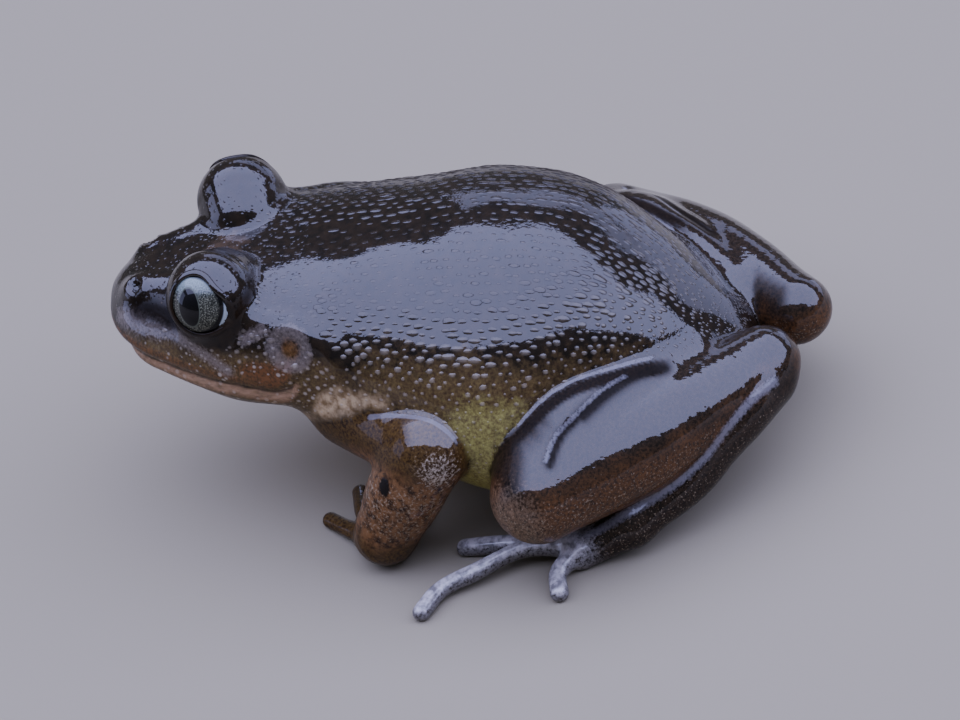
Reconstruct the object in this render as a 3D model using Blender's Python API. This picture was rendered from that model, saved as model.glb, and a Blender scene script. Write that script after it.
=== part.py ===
"""A western night frog at rest, life size, as a museum model.

The frog faces -Y with its left side towards +X and rests on the plane z = 0. The named sizes are in
millimetres, and become metres where a mesh is made. The body is shaped whole and parted by thin cuts,
so that head, jaw, torso and every length of limb is a closed solid of its own.
"""

import math

import bmesh
import bpy
import numpy as np
from mathutils import Matrix, Vector

MM = 0.001
GAP = 0.3  # left between two solids that meet
LEFT, RIGHT = 1, -1
MIDDLE_Y = 0.55  # middle of the frog's length, which is moved to the origin

# Head and torso are one body of rounded cross-sections. Each row is a section: its place along Y, half
# its width, the height at which it is widest, the heights of its back and of its belly, and how square
# its back is, where 2 is an ellipse and more is boxier.
SECTIONS = (
    (-28.0, 7.7, 18.6, 23.3, 15.2, 2.9),  # nostrils
    (-20.4, 11.3, 17.4, 24.6, 12.4, 3.5),  # eyes
    (-12.0, 12.8, 16.2, 25.2, 10.6, 2.9),  # corners of the mouth
    (-5.0, 14.9, 14.2, 25.9, 6.0, 2.4),  # shoulders
    (5.0, 17.8, 12.2, 26.4, 1.4, 2.1),  # widest part of the belly
    (14.0, 13.4, 12.0, 24.2, 1.8, 2.3),  # hump of the hips
    (22.0, 8.2, 11.2, 17.6, 4.2, 2.3),  # rump
)
SNOUT_TIP, SNOUT_HEIGHT, SNOUT_ROUND = -32.6, 20.0, 5.0
VENT_TIP, VENT_HEIGHT, VENT_ROUND = 27.4, 9.8, 8.0
BELLY_SQUARENESS = 2.3

NECK_Y = -9.8
MOUTH_HEIGHT = 16.4
JAW_NARROWER, JAW_BEHIND = 0.96, 1.0  # the lower jaw against the upper lip

EYE_CENTRE = (7.4, -20.4, 24.3)
EYE_LOOKS = (0.88, -0.22, 0.40)  # the way the left eye looks
LID_RADIUS, EYE_RADIUS = 4.25, 3.5
EYE_FORWARD = 0.8  # how far the ball stands forward in its lids

NOSTRIL = (3.7, -29.2, 22.3)
NOSTRIL_RADIUS = 0.55
EARDRUM_Y, EARDRUM_HEIGHT = -13.4, 20.0
EARDRUM_FACES = (1, -0.1, 0.3)
EARDRUM_RADIUS, EARDRUM_THICK = 2.2, 0.7

# Limb joints of the left side, each with the limb's radius there.
SHOULDER, SHOULDER_R = (9.5, -9.5, 11.6), 3.6
ELBOW, ELBOW_R = (17.0, -0.9, 12.2), 3.5
WRIST, WRIST_R = (17.0, -6.2, 3.0), 2.2
HIP, HIP_R = (7.0, 22.0, 11.7), 4.8
THIGH, THIGH_R = (11.8, 14.8, 11.7), 4.7
THIGH_KNEE, THIGH_KNEE_R = (16.6, 8.2, 11.2), 4.3
KNEE, KNEE_R = (20.2, 9.0, 9.2), 4.3
CALF, CALF_R = (14.0, 17.6, 10.0), 4.7
HEEL, HEEL_R = (3.8, 28.2, 10.4), 3.3
ANKLE_TOP, ANKLE_TOP_R = (6.6, 27.2, 6.9), 2.5
ANKLE, ANKLE_R = (17.2, 16.2, 3.1), 1.9
SOLE, SOLE_R = (18.9, 11.4, 1.2), 1.5
FOLD_BACK, FOLD_FRONT = (5.6, 27.8, 7.4), (18.4, 12.0, 5.0)  # between the shank and the ankle
FOLD_FACES = (0.2, 0.15, -0.97)
RIGHT_LEG_BEHIND = 2.2  # the right leg is folded a little further back

# Fingers and toes: each row is a digit's path from root to tip, on the left side.
PALM, PALM_R = (15.4, -8.0, 1.2), 1.5
FINGERS = (
    ((14.8, -7.2, 1.4), (12.6, -5.8, 1.1), (10.8, -5.2, 0.7)),
    ((14.6, -7.8, 1.4), (11.6, -7.6, 1.2), (8.4, -7.4, 0.7)),
    ((14.6, -8.4, 1.4), (11.4, -10.2, 1.3), (7.8, -11.2, 0.7)),
    ((15.2, -9.0, 1.4), (13.4, -11.4, 1.1), (11.6, -13.4, 0.7)),
)
TOES = (
    ((17.0, 13.6, 1.6), (15.2, 12.0, 1.2), (14.0, 10.0, 0.7)),
    ((17.6, 12.0, 1.6), (15.6, 8.4, 1.2), (14.4, 5.2, 0.7)),
    ((18.2, 11.0, 1.8), (17.2, 5.6, 1.4), (16.6, 0.2, 0.7)),
    ((18.4, 10.4, 1.9), (18.6, 6.0, 1.8), (20.9, 1.8, 1.3), (22.8, -1.2, 1.0), (25.4, -2.6, 0.7)),
    ((19.4, 11.2, 1.7), (21.5, 9.6, 1.2), (23.6, 9.9, 0.7)),
)
DIGIT_ROOT_R, DIGIT_MID_R, DIGIT_TIP_R = 1.05, 0.8, 0.85

FROG = "western_night_frog"
SHARP_ANGLE = 40  # degrees
SKINS = {
    "back": ((0.030, 0.022, 0.016), 0.25),
    "underside": ((0.20, 0.17, 0.11), 0.35),
    "limb": ((0.045, 0.030, 0.018), 0.25),
    "digit": ((0.16, 0.17, 0.19), 0.30),
    "eye": ((0.20, 0.25, 0.23), 0.05),
    "eardrum": ((0.20, 0.11, 0.06), 0.35),
}


def mirrored(point, side):
    """The point on the left side, or its twin on the right."""
    return np.array(point, float) * (side, 1, 1)


def through(knots, values, x):
    """A smooth curve through the values at the knots: cubic pieces that share the mean slope at a knot."""
    knots, values = np.asarray(knots, float), np.asarray(values, float)
    slopes = np.gradient(values, knots, axis=0)
    i = np.clip(np.searchsorted(knots, x) - 1, 0, len(knots) - 2)
    span = knots[i + 1] - knots[i]
    t = (x - knots[i]) / span
    if values.ndim > 1:
        t, span = t[:, None], span[:, None]
    start = (2 * t**3 - 3 * t**2 + 1) * values[i] + (t**3 - 2 * t**2 + t) * span * slopes[i]
    end = (3 * t**2 - 2 * t**3) * values[i + 1] + (t**3 - t**2) * span * slopes[i + 1]
    return start + end


def unit(vectors):
    vectors = np.array(vectors, float)
    return vectors / np.linalg.norm(vectors, axis=-1, keepdims=True)


def closed_loft(name, rings, first, last):
    """A closed mesh object from rings of points, with a pole at each end."""
    count, sides = rings.shape[:2]
    points = np.vstack([[first], rings.reshape(-1, 3), [last]]) * MM
    ring = np.arange(sides)
    turned = (ring + 1) % sides
    faces = [(0, 1 + b, 1 + a) for a, b in zip(ring, turned)]
    for row in range(count - 1):
        low, high = 1 + row * sides, 1 + (row + 1) * sides
        faces += [(low + a, low + b, high + b, high + a) for a, b in zip(ring, turned)]
    top, tip = 1 + (count - 1) * sides, count * sides + 1
    faces += [(top + a, top + b, tip) for a, b in zip(ring, turned)]
    mesh = bpy.data.meshes.new(name)
    mesh.from_pydata(points.tolist(), [], [tuple(int(v) for v in f) for f in faces])
    obj = bpy.data.objects.new(name, mesh)
    bpy.context.scene.collection.objects.link(obj)
    bm = bmesh.new()
    bm.from_mesh(mesh)
    bmesh.ops.recalc_face_normals(bm, faces=bm.faces)
    bm.to_mesh(mesh)
    bm.free()
    return obj


def section(y):
    """Half width, widest height, back height, belly height and squareness of the body's section at y."""
    y = np.atleast_1d(y)
    table = np.array(SECTIONS)
    half, wide_at, back, belly, squareness = through(table[:, 0], table[:, 1:], y).T
    from_snout = np.clip((y - SNOUT_TIP) / SNOUT_ROUND, 0, 1)
    from_vent = np.clip((VENT_TIP - y) / VENT_ROUND, 0, 1)
    full = np.sqrt(1 - (1 - from_snout) ** 2) * np.sqrt(1 - (1 - from_vent) ** 2)
    tip_height = np.where(y < 0, SNOUT_HEIGHT, VENT_HEIGHT)
    wide_at, back, belly = (tip_height + (z - tip_height) * full for z in (wide_at, back, belly))
    return half * full, wide_at, back, belly, squareness


def side_of_body(y, height):
    """How far the left side of the body stands from the middle at this height above the widest line."""
    half, wide_at, back, _, squareness = (float(v[0]) for v in section(y))
    rise = (height - wide_at) / (back - wide_at)
    return half * (1 - rise**squareness) ** (1 / squareness)


def trunk(name, grow=0.0, rings=42, sides=32):
    """Head and torso: superelliptic sections from snout to vent, rounded off to a point at both ends."""
    turn = np.linspace(0, math.pi, rings + 2)[1:-1]
    y = SNOUT_TIP + (VENT_TIP - SNOUT_TIP) * (1 - np.cos(turn)) / 2
    half, wide_at, back, belly, squareness = section(y)
    around = np.linspace(0, 2 * math.pi, sides, endpoint=False)
    up = np.sin(around) > 0
    power = 2 / np.where(up, squareness[:, None], BELLY_SQUARENESS)
    across = np.sign(np.cos(around)) * np.abs(np.cos(around)) ** power
    along = np.sign(np.sin(around)) * np.abs(np.sin(around)) ** power
    rise = np.where(up, (back - wide_at + grow)[:, None], (wide_at - belly + grow)[:, None])
    x = (half + grow)[:, None] * across
    z = wide_at[:, None] + rise * along
    rows = np.stack([x, np.broadcast_to(y[:, None], x.shape), z], axis=-1)
    snout = (0, SNOUT_TIP - grow, SNOUT_HEIGHT)
    vent = (0, VENT_TIP + grow, VENT_HEIGHT)
    return closed_loft(name, rows, snout, vent)


def limb(name, joints, radii, rings=10, sides=14, caps=4, wide=1.0, tall=1.0, up=(0, 0, 1), grow=0.0):
    """A limb: oval rings along a smooth line through the joints, with a round end past each end joint."""
    joints, radii = np.array(joints, float), np.array(radii, float)
    reach = np.concatenate([[0], np.cumsum(np.linalg.norm(np.diff(joints, axis=0), axis=1))])
    turn = np.linspace(0, math.pi / 2, caps + 1)
    inner = np.linspace(0, reach[-1], rings + 1)[1:-1]
    start_s, end_s = -radii[0] * np.cos(turn[1:]), reach[-1] + radii[-1] * np.cos(turn[::-1][:-1])
    s = np.concatenate([start_s, inner, end_s])
    inside = np.clip(s, 0, reach[-1])
    centre = through(reach, joints, inside)
    first_way = unit(through(reach, joints, np.array([0.01])) - joints[0])
    last_way = unit(joints[-1] - through(reach, joints, np.array([reach[-1] - 0.01])))
    centre = centre + np.minimum(s, 0)[:, None] * first_way + np.maximum(s - reach[-1], 0)[:, None] * last_way
    radius = through(reach, radii, inside)
    radius[:caps] = radii[0] * np.sin(turn[1:])
    radius[-caps:] = radii[-1] * np.sin(turn[::-1][:-1])
    radius = radius + grow
    way = unit(np.gradient(centre, s, axis=0))
    across = unit(np.cross(way, up))
    over = np.cross(across, way)
    around = np.linspace(0, 2 * math.pi, sides, endpoint=False)[None, :, None]
    oval = wide * np.cos(around) * across[:, None] + tall * np.sin(around) * over[:, None]
    rows = centre[:, None] + radius[:, None, None] * oval
    first = joints[0] - first_way[0] * (radii[0] + grow)
    last = joints[-1] + last_way[0] * (radii[-1] + grow)
    return closed_loft(name, rows, first, last)


def ball(name, centre, radius, scale=(1, 1, 1), look=(0, 0, 1), segments=18):
    """A round or flattened ball whose own Z points the way it looks."""
    mesh = bpy.data.meshes.new(name)
    bm = bmesh.new()
    bmesh.ops.create_uvsphere(bm, u_segments=segments, v_segments=segments // 2, radius=radius * MM)
    turn = Vector(look).to_track_quat("Z", "Y").to_matrix().to_4x4()
    place = Matrix.Translation(Vector(centre) * MM) @ turn @ Matrix.Diagonal((*scale, 1))
    bm.transform(place)
    bm.to_mesh(mesh)
    bm.free()
    obj = bpy.data.objects.new(name, mesh)
    bpy.context.scene.collection.objects.link(obj)
    return obj


def copy_of(obj, name):
    twin = bpy.data.objects.new(name, obj.data.copy())
    bpy.context.scene.collection.objects.link(twin)
    return twin


def remove(*objects):
    for obj in objects:
        bpy.data.objects.remove(obj)


def keep_largest(obj):
    """Drops every loose scrap, so that the node is one closed body."""
    bm = bmesh.new()
    bm.from_mesh(obj.data)
    left, bodies = set(bm.verts), []
    while left:
        found, edge = set(), [left.pop()]
        while edge:
            vert = edge.pop()
            found.add(vert)
            near = {e.other_vert(vert) for e in vert.link_edges} & left
            left -= near
            edge += near
        bodies.append(found)
    bodies.sort(key=len)
    for body in bodies[:-1]:
        bmesh.ops.delete(bm, geom=list(body), context="VERTS")
    bm.to_mesh(obj.data)
    bm.free()


def boolean(obj, others, operation, solver="EXACT"):
    """Applies one Boolean with the other objects, which are then removed."""
    group = bpy.data.collections.new("cutters")
    for other in others:
        group.objects.link(other)
    change = obj.modifiers.new("boolean", "BOOLEAN")
    change.operation = operation
    change.solver = solver
    change.operand_type = "COLLECTION"
    change.collection = group
    graph = bpy.context.evaluated_depsgraph_get()
    mesh = bpy.data.meshes.new_from_object(obj.evaluated_get(graph))
    obj.modifiers.clear()
    obj.data = mesh
    bpy.data.collections.remove(group)
    remove(*others)
    keep_largest(obj)
    return obj


def trim(obj, point, outward):
    """Cuts off what lies past the plane and closes the cut with a flat face."""
    bm = bmesh.new()
    bm.from_mesh(obj.data)
    everything = bm.verts[:] + bm.edges[:] + bm.faces[:]
    bmesh.ops.bisect_plane(
        bm,
        geom=everything,
        dist=1e-6,
        plane_co=Vector(point) * MM,
        plane_no=Vector(outward),
        clear_outer=True,
    )
    rim = [e for e in bm.edges if e.is_boundary]
    bmesh.ops.holes_fill(bm, edges=rim, sides=0)
    bmesh.ops.triangulate(bm, faces=[f for f in bm.faces if len(f.verts) > 4])
    bmesh.ops.recalc_face_normals(bm, faces=bm.faces)
    bm.to_mesh(obj.data)
    bm.free()
    return obj


def part_between(first, second, point, towards_second):
    """Parts two neighbours by a flat gap, so that they meet face to face."""
    way = Vector(towards_second).normalized()
    middle = Vector(point)
    trim(first, middle - way * GAP / 2, way)
    trim(second, middle + way * GAP / 2, -way)


def flatten_on_floor(obj):
    return trim(obj, (0, 0, 0), (0, 0, -1))


def skin(obj, kind):
    """Gives the solid its colour, shades it smooth and puts it with the frog's other parts."""
    colour, roughness = SKINS[kind]
    material = bpy.data.materials.get(kind) or bpy.data.materials.new(kind)
    material.use_nodes = True
    shader = material.node_tree.nodes["Principled BSDF"]
    shader.inputs["Base Color"].default_value = (*colour, 1)
    shader.inputs["Roughness"].default_value = roughness
    shader.inputs["Metallic"].default_value = 0
    obj.data.materials.clear()
    obj.data.materials.append(material)
    obj.data.shade_smooth()
    obj.data.set_sharp_from_angle(angle=math.radians(SHARP_ANGLE))
    bpy.context.scene.collection.objects.unlink(obj)
    bpy.data.collections[FROG].objects.link(obj)
    return obj


def eye_ball(side, radius, forward, name):
    """A ball about the eye's middle, moved forward along the way that the eye looks."""
    look = unit(mirrored(EYE_LOOKS, side))
    centre = mirrored(EYE_CENTRE, side) + look * forward
    return ball(name, centre, radius, look=look)


def eardrum_ball(side, grow, name):
    """The flat round eardrum, a lens set in the side of the head."""
    radius = EARDRUM_RADIUS + grow
    thick = (EARDRUM_THICK + grow) / radius
    centre = (side_of_body(EARDRUM_Y, EARDRUM_HEIGHT), EARDRUM_Y, EARDRUM_HEIGHT)
    return ball(name, mirrored(centre, side), radius, (1, 1, thick), mirrored(EARDRUM_FACES, side))


def make_head(body):
    """Head with lids, eye sockets, nostrils and the seats of the eardrums, and the lower jaw."""
    head = copy_of(body, "head")
    trim(head, (0, NECK_Y - GAP / 2, 0), (0, 1, 0))
    jaw = copy_of(body, "lower_jaw")
    behind = Matrix.Translation((0, JAW_BEHIND * MM, 0))
    jaw.data.transform(behind @ Matrix.Diagonal((JAW_NARROWER, 1, 1, 1)))
    trim(jaw, (0, NECK_Y - GAP / 2, 0), (0, 1, 0))
    part_between(jaw, head, (0, 0, MOUTH_HEIGHT), (0, 0, 1))
    boolean(head, [eye_ball(s, LID_RADIUS, 0, "lid") for s in (LEFT, RIGHT)], "UNION")
    hollows = []
    for side in (LEFT, RIGHT):
        hollows.append(eye_ball(side, EYE_RADIUS + GAP, EYE_FORWARD, "socket"))
        hollows.append(eardrum_ball(side, GAP, "eardrum_seat"))
        hollows.append(ball("nostril", mirrored(NOSTRIL, side), NOSTRIL_RADIUS, segments=10))
    boolean(head, hollows, "DIFFERENCE")
    skin(head, "back")
    skin(jaw, "underside")
    for side, word in ((LEFT, "left"), (RIGHT, "right")):
        skin(eye_ball(side, EYE_RADIUS, EYE_FORWARD, word + "_eye"), "eye")
        skin(eardrum_ball(side, 0, word + "_eardrum"), "eardrum")


def digits(hand, paths, side, behind=0.0):
    """Joins the fingers or toes to their hand or sole."""
    made = []
    for path in paths:
        path = [mirrored(p, side) + (0, behind, 0) for p in path]
        radii = [DIGIT_ROOT_R] + [DIGIT_MID_R] * (len(path) - 2) + [DIGIT_TIP_R]
        made.append(limb("digit", path, radii, rings=8, sides=8, caps=2))
    return boolean(hand, made, "UNION")


def make_arm(body_grown, side, word):
    """Upper arm, forearm and hand, folded at the elbow, with the fingers turned in under the chest."""
    shoulder, elbow, wrist, palm = (mirrored(p, side) for p in (SHOULDER, ELBOW, WRIST, PALM))
    upper = limb(word + "_upper_arm", (shoulder, elbow), (SHOULDER_R, ELBOW_R))
    lower = limb(word + "_forearm", (elbow, wrist), (ELBOW_R, WRIST_R), up=(0, 1, 0))
    hand = limb(word + "_hand", (wrist, palm), (WRIST_R, PALM_R), rings=6, sides=14, up=(0, 1, 0))
    digits(hand, FINGERS, side)
    along_upper, along_lower = unit(elbow - shoulder), unit(wrist - elbow)
    part_between(upper, lower, elbow, along_upper + along_lower)
    part_between(lower, hand, wrist, along_lower)
    for obj in (upper, lower):
        boolean(obj, [copy_of(body_grown, "body")], "DIFFERENCE")
    flatten_on_floor(hand)
    skin(upper, "limb")
    skin(lower, "limb")
    skin(hand, "digit")


def make_leg(body_grown, side, word):
    """Thigh, shank, ankle and foot, folded like a Z beside the belly."""
    behind = 0 if side == LEFT else RIGHT_LEG_BEHIND

    def placed(point):
        return mirrored(point, side) + (0, behind, 0)

    hip, thigh_knee, knee, calf, heel = (placed(p) for p in (HIP, THIGH_KNEE, KNEE, CALF, HEEL))
    ankle_top, ankle, sole = (placed(p) for p in (ANKLE_TOP, ANKLE, SOLE))
    shank_path, shank_radii = (knee, calf, heel), (KNEE_R, CALF_R, HEEL_R)
    thigh_path, thigh_radii = (hip, placed(THIGH), thigh_knee), (HIP_R, THIGH_R, THIGH_KNEE_R)
    thigh = limb(word + "_thigh", thigh_path, thigh_radii)
    shank = limb(word + "_shank", shank_path, shank_radii, rings=14, sides=16)
    shank_grown = limb("shank_grown", shank_path, shank_radii, rings=14, sides=16, grow=GAP)
    tarsus = limb(word + "_ankle", (ankle_top, ankle), (ANKLE_TOP_R, ANKLE_R))
    foot = limb(word + "_foot", (ankle, sole), (ANKLE_R, SOLE_R), rings=6, sides=14)
    digits(foot, TOES, side, behind)
    fold = placed(FOLD_FRONT) - placed(FOLD_BACK)
    faces = mirrored(FOLD_FACES, side)
    faces = faces - fold * (faces @ fold) / (fold @ fold)
    part_between(shank, tarsus, placed(FOLD_BACK), faces)
    part_between(tarsus, foot, ankle, unit(sole - ankle))
    boolean(thigh, [shank_grown], "DIFFERENCE")
    for obj in (thigh, shank, tarsus):
        boolean(obj, [copy_of(body_grown, "body")], "DIFFERENCE")
    flatten_on_floor(foot)
    for obj in (thigh, shank, tarsus):
        skin(obj, "limb")
    skin(foot, "digit")


def main():
    remove(*bpy.data.objects)
    frog = bpy.data.collections.new(FROG)
    bpy.context.scene.collection.children.link(frog)
    body = trunk("body")
    body_grown = trunk("body_grown", grow=GAP)
    make_head(body)
    torso = copy_of(body, "torso")
    trim(torso, (0, NECK_Y + GAP / 2, 0), (0, -1, 0))
    skin(torso, "back")
    for side, word in ((LEFT, "left"), (RIGHT, "right")):
        make_arm(body_grown, side, word)
        make_leg(body_grown, side, word)
    remove(body, body_grown)
    for obj in frog.objects:
        obj.data.transform(Matrix.Translation((0, -MIDDLE_Y * MM, 0)))


if __name__ == "__main__":
    main()
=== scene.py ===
"""Looks of the western night frog: one wet skin over the whole body, warts, eyelids, eyes and the stage.

Sizes in the tables are millimetres, as in the solids, and become metres where a mesh is made. The frog
faces -Y with its left side towards +X, and rests on the plane z = 0.
"""

import math

import bpy
import numpy as np
from mathutils import Matrix, Vector


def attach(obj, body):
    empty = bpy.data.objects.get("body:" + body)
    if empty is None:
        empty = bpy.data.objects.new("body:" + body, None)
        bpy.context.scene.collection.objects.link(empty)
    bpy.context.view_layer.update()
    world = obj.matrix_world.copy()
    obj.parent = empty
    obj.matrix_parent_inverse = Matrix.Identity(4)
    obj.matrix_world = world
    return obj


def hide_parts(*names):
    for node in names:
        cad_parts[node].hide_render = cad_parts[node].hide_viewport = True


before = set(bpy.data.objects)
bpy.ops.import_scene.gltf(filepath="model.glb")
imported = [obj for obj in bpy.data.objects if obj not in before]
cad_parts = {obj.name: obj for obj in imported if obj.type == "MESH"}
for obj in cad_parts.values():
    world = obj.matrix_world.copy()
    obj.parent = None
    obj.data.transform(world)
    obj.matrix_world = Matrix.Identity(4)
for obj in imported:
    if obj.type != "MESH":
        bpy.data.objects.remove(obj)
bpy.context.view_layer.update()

bl_info = {
    "name": "Western Night Frog",
    "version": (1, 0, 0),
    "blender": (4, 5, 0),
    "location": "View3D > Sidebar > Frog",
    "description": "Skin, warts, eyelids, eyes and stage of a life-size frog",
    "category": "Add Mesh",
}

MM = 0.001
SIDES = (("left", 1), ("right", -1))
MIDDLE_Y = 0.55  # the tables are drawn this far behind the model's origin
SEED = 11

# The trunk: place along Y, half width, height at which it is widest, heights of back and belly, and how
# square the back is (2 is an ellipse).
SECTIONS = np.array(
    (
        (-28.0, 7.7, 17.9, 23.6, 15.2, 2.2),
        (-20.4, 11.3, 16.8, 24.7, 12.4, 3.1),
        (-12.0, 12.8, 16.2, 25.2, 10.6, 2.9),
        (-5.0, 14.9, 14.2, 25.9, 6.0, 2.4),
        (5.0, 17.8, 12.2, 26.4, 1.4, 2.1),
        (14.0, 13.4, 12.0, 24.2, 1.8, 2.3),
        (22.0, 8.2, 11.2, 17.6, 4.2, 2.3),
    )
)
SNOUT_TIP, SNOUT_HEIGHT, SNOUT_ROUND = -32.6, 20.0, 5.0
VENT_TIP, VENT_HEIGHT, VENT_ROUND = 27.4, 9.8, 8.0
BELLY_SQUARENESS = 2.3

EYE_CENTRE = np.array((7.4, -20.4, 24.3))
EYE_LOOKS = np.array((0.88, -0.22, 0.40))  # the way the eyeball stands forward
OPENING_LOOKS = np.array((0.90, -0.10, 0.36))  # the way the lids open
LID_RADIUS, EYE_RADIUS, EYE_FORWARD = 4.25, 3.5, 0.8
LID_SLOPE = (5.7, -20.0, 23.6), 3.9  # where the lid runs down to the head's middle, and its radius there
IRIS_OFFSET = -0.45  # of the iris's middle, back along the head from the opening's middle
PUPIL_OFFSET = (-0.62, -0.1)
NOSTRIL = (3.5, -28.9, 23.2)  # drawn near the skin
EARDRUM = (12.0, -13.0, 21.1)
SPOT = (19.9, -4.9, 11.0)  # a dark spot on the forearm

# The mouth from the tip of the snout to its corner: place along Y and height.
MOUTH = np.array(
    ((-34, 18.6), (-28.0, 18.0), (-23.8, 17.5), (-19.2, 17.2), (-15.2, 16.5), (-13.6, 17.0), (-12.6, 18.1))
)
MOUTH_CORNER = -13.0

# Limbs of the left side. Each row is a kind of skin and then, for every joint of the path, the point, the
# limb's radius and how softly the limb runs into what it touches there.
ARM = (
    ("arm", ((9.5, -9.3, 12.0), 3.6, 3.0), ((17.0, -0.9, 12.5), 3.5, 0.5)),
    ("arm", ((17.0, -0.9, 12.5), 3.5, 1.2), ((17.1, -4.0, 8.0), 3.6, 0.9), ((16.9, -6.8, 3.1), 2.6, 0.6)),
    ("hand", ((16.9, -6.8, 3.1), 2.6, 1.5), ((15.4, -8.8, 1.2), 1.5, 0.8)),
)
LEG = (
    ("thigh", ((6.4, 21.8, 10.2), 4.2, 1.6), ((11.4, 15.2, 11.8), 4.9, 0.4), ((14.2, 11.6, 11.9), 4.9, 0.4),
        ((16.3, 9.1, 10.9), 4.1, 0.8)),
    ("shank", ((20.2, 9.0, 9.2), 4.3, 2.2), ((14.0, 17.6, 10.0), 4.7, 0.3), ((3.8, 28.2, 10.4), 3.3, 0.8)),
    ("tarsus", ((5.2, 28.2, 9.4), 2.9, 0.8), ((8.6, 26.2, 8.7), 2.8, 0.35), ((11.3, 23.8, 7.4), 2.7, 0.25),
        ((13.9, 21.2, 5.4), 2.4, 0.25), ((17.2, 16.2, 3.1), 1.9, 0.4)),
    ("tarsus", ((17.2, 16.2, 3.1), 1.9, 1.5), ((18.9, 11.4, 1.2), 1.5, 1.0)),
)
RIGHT_LEG_BEHIND = 2.2
FINGERS = (
    ((14.8, -7.2, 1.4), (12.6, -5.8, 1.1), (10.8, -5.2, 0.7)),
    ((14.6, -7.8, 1.4), (11.6, -7.6, 1.2), (8.4, -7.4, 0.7)),
    ((14.6, -8.4, 1.4), (11.4, -10.2, 1.3), (7.8, -11.2, 0.7)),
    ((15.2, -9.0, 1.4), (13.4, -11.4, 1.1), (11.6, -13.4, 0.7)),
)
TOES = (
    ((17.0, 13.6, 1.6), (15.2, 12.0, 1.2), (14.0, 10.0, 0.7)),
    ((17.6, 12.0, 1.6), (15.6, 8.4, 1.2), (14.4, 5.2, 0.7)),
    ((18.2, 11.0, 1.8), (17.2, 5.6, 1.4), (16.6, 0.2, 0.7)),
    ((18.4, 10.4, 1.9), (18.6, 6.0, 1.8), (20.9, 1.8, 1.3), (22.8, -1.2, 1.0), (25.4, -2.6, 0.7)),
    ((19.4, 11.2, 1.7), (21.5, 9.6, 1.2), (23.6, 9.9, 0.7)),
)
DIGIT_RADII, DIGIT_BLENDS = (1.05, 0.8, 0.85), (0.9, 0.25, 0.2)  # at the root, the middle and the swollen tip

# Low folds of the head's left side: a point near the skin, radius, how deep the fold's middle lies under the
# skin, and how softly it runs in.
HEAD_FOLDS = (
    (((4.4, -23.6, 23.8), 1.1, 0.95, 1.6), ((3.6, -26.6, 23.4), 1.0, 0.85, 1.5),
        ((3.0, -29.4, 22.4), 0.9, 0.8, 1.5)),
    (((10.4, -16.3, 23.7), 0.7, 0.5, 1.2), ((11.1, -13.6, 23.3), 0.8, 0.5, 1.2),
        ((11.8, -11.7, 22.8), 0.8, 0.5, 1.4), ((12.6, -9.9, 21.9), 0.8, 0.5, 1.6),
        ((13.6, -8.7, 19.9), 0.7, 0.6, 1.6)),
)

# Fine edges and grooves of the left side, and lines of painted highlight, shade and sheen on it: a kind, its
# radius, how far it rises, and points near the skin.
EDGES = (
    # Painted highlight: the crease's pale line between thigh and shank, a colour alone, with no rise.
    ("crease", 0.26, 0.0, (20.7, 10.5, 13.4), (18.5, 11.3, 14.4), (16.5, 13.1, 15.2), (14.1, 15.3, 15.9),
        (12.3, 17.3, 16.2)),
    # Grooves, the lore's hollow under the snout's ridge among them, are painted dark: painted shade.
    ("groove", 0.4, -0.12, (21.0, 10.9, 13.3), (18.7, 11.7, 14.4), (16.7, 13.4, 15.2), (14.3, 15.6, 15.9),
        (12.4, 17.7, 16.2), (10.6, 20.4, 16.0)),
    ("groove", 0.6, -0.1, (16.7, 13.6, 15.2), (14.3, 15.9, 15.9), (12.2, 18.2, 16.2), (10.4, 20.8, 16.0)),
    ("groove", 1.2, -0.4, (8.2, -24.6, 22.3), (6.6, -26.6, 22.2), (5.4, -28.4, 21.8)),
    # The tarsus's ridge carries a painted highlight along its top.
    ("tarsus", 0.55, 0.12, (7.5, 29.3, 10.8), (10.0, 27.5, 10.8), (12.9, 25.2, 9.6), (15.0, 22.3, 7.4),
        (16.5, 18.9, 5.4), (18.3, 15.8, 4.8), (18.8, 12.4, 3.2)),
    # Painted reflection: lavender sheen lines along the upper lip and the snout's side; the last row is a
    # pale granular patch between eye and eardrum.
    ("painted_sheen_and_pale_patch", 0.9, 0.0, (7.6, -27.0, 21.6), (9.5, -23.8, 21.0), (10.6, -21.8, 20.2), (11.5, -19.4, 18.8)),
    ("painted_sheen_and_pale_patch", 1.3, 0.0, (7.4, -26.0, 20.8), (5.9, -28.4, 20.7), (4.4, -30.2, 20.4)),
    ("painted_sheen_and_pale_patch", 0.8, 0.0, (11.5, -17.2, 22.0), (11.2, -15.4, 22.8)),
)

# Values that stand for far away: in mm, and in widths of an edge.
FAR_OFF, FAR_WIDTHS = 40.0, 9.0

# A wart from its hidden rim to near its top: how wide and how tall, as shares of its radius and height, and
# how pale its tip is painted there, partly pale pigment and partly a painted glint.
WART_PROFILE = ((1.4, -0.25, 0.0), (1.0, 0.12, 0.3), (0.5, 0.41, 0.9))
WART_SIDES = 8

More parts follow.
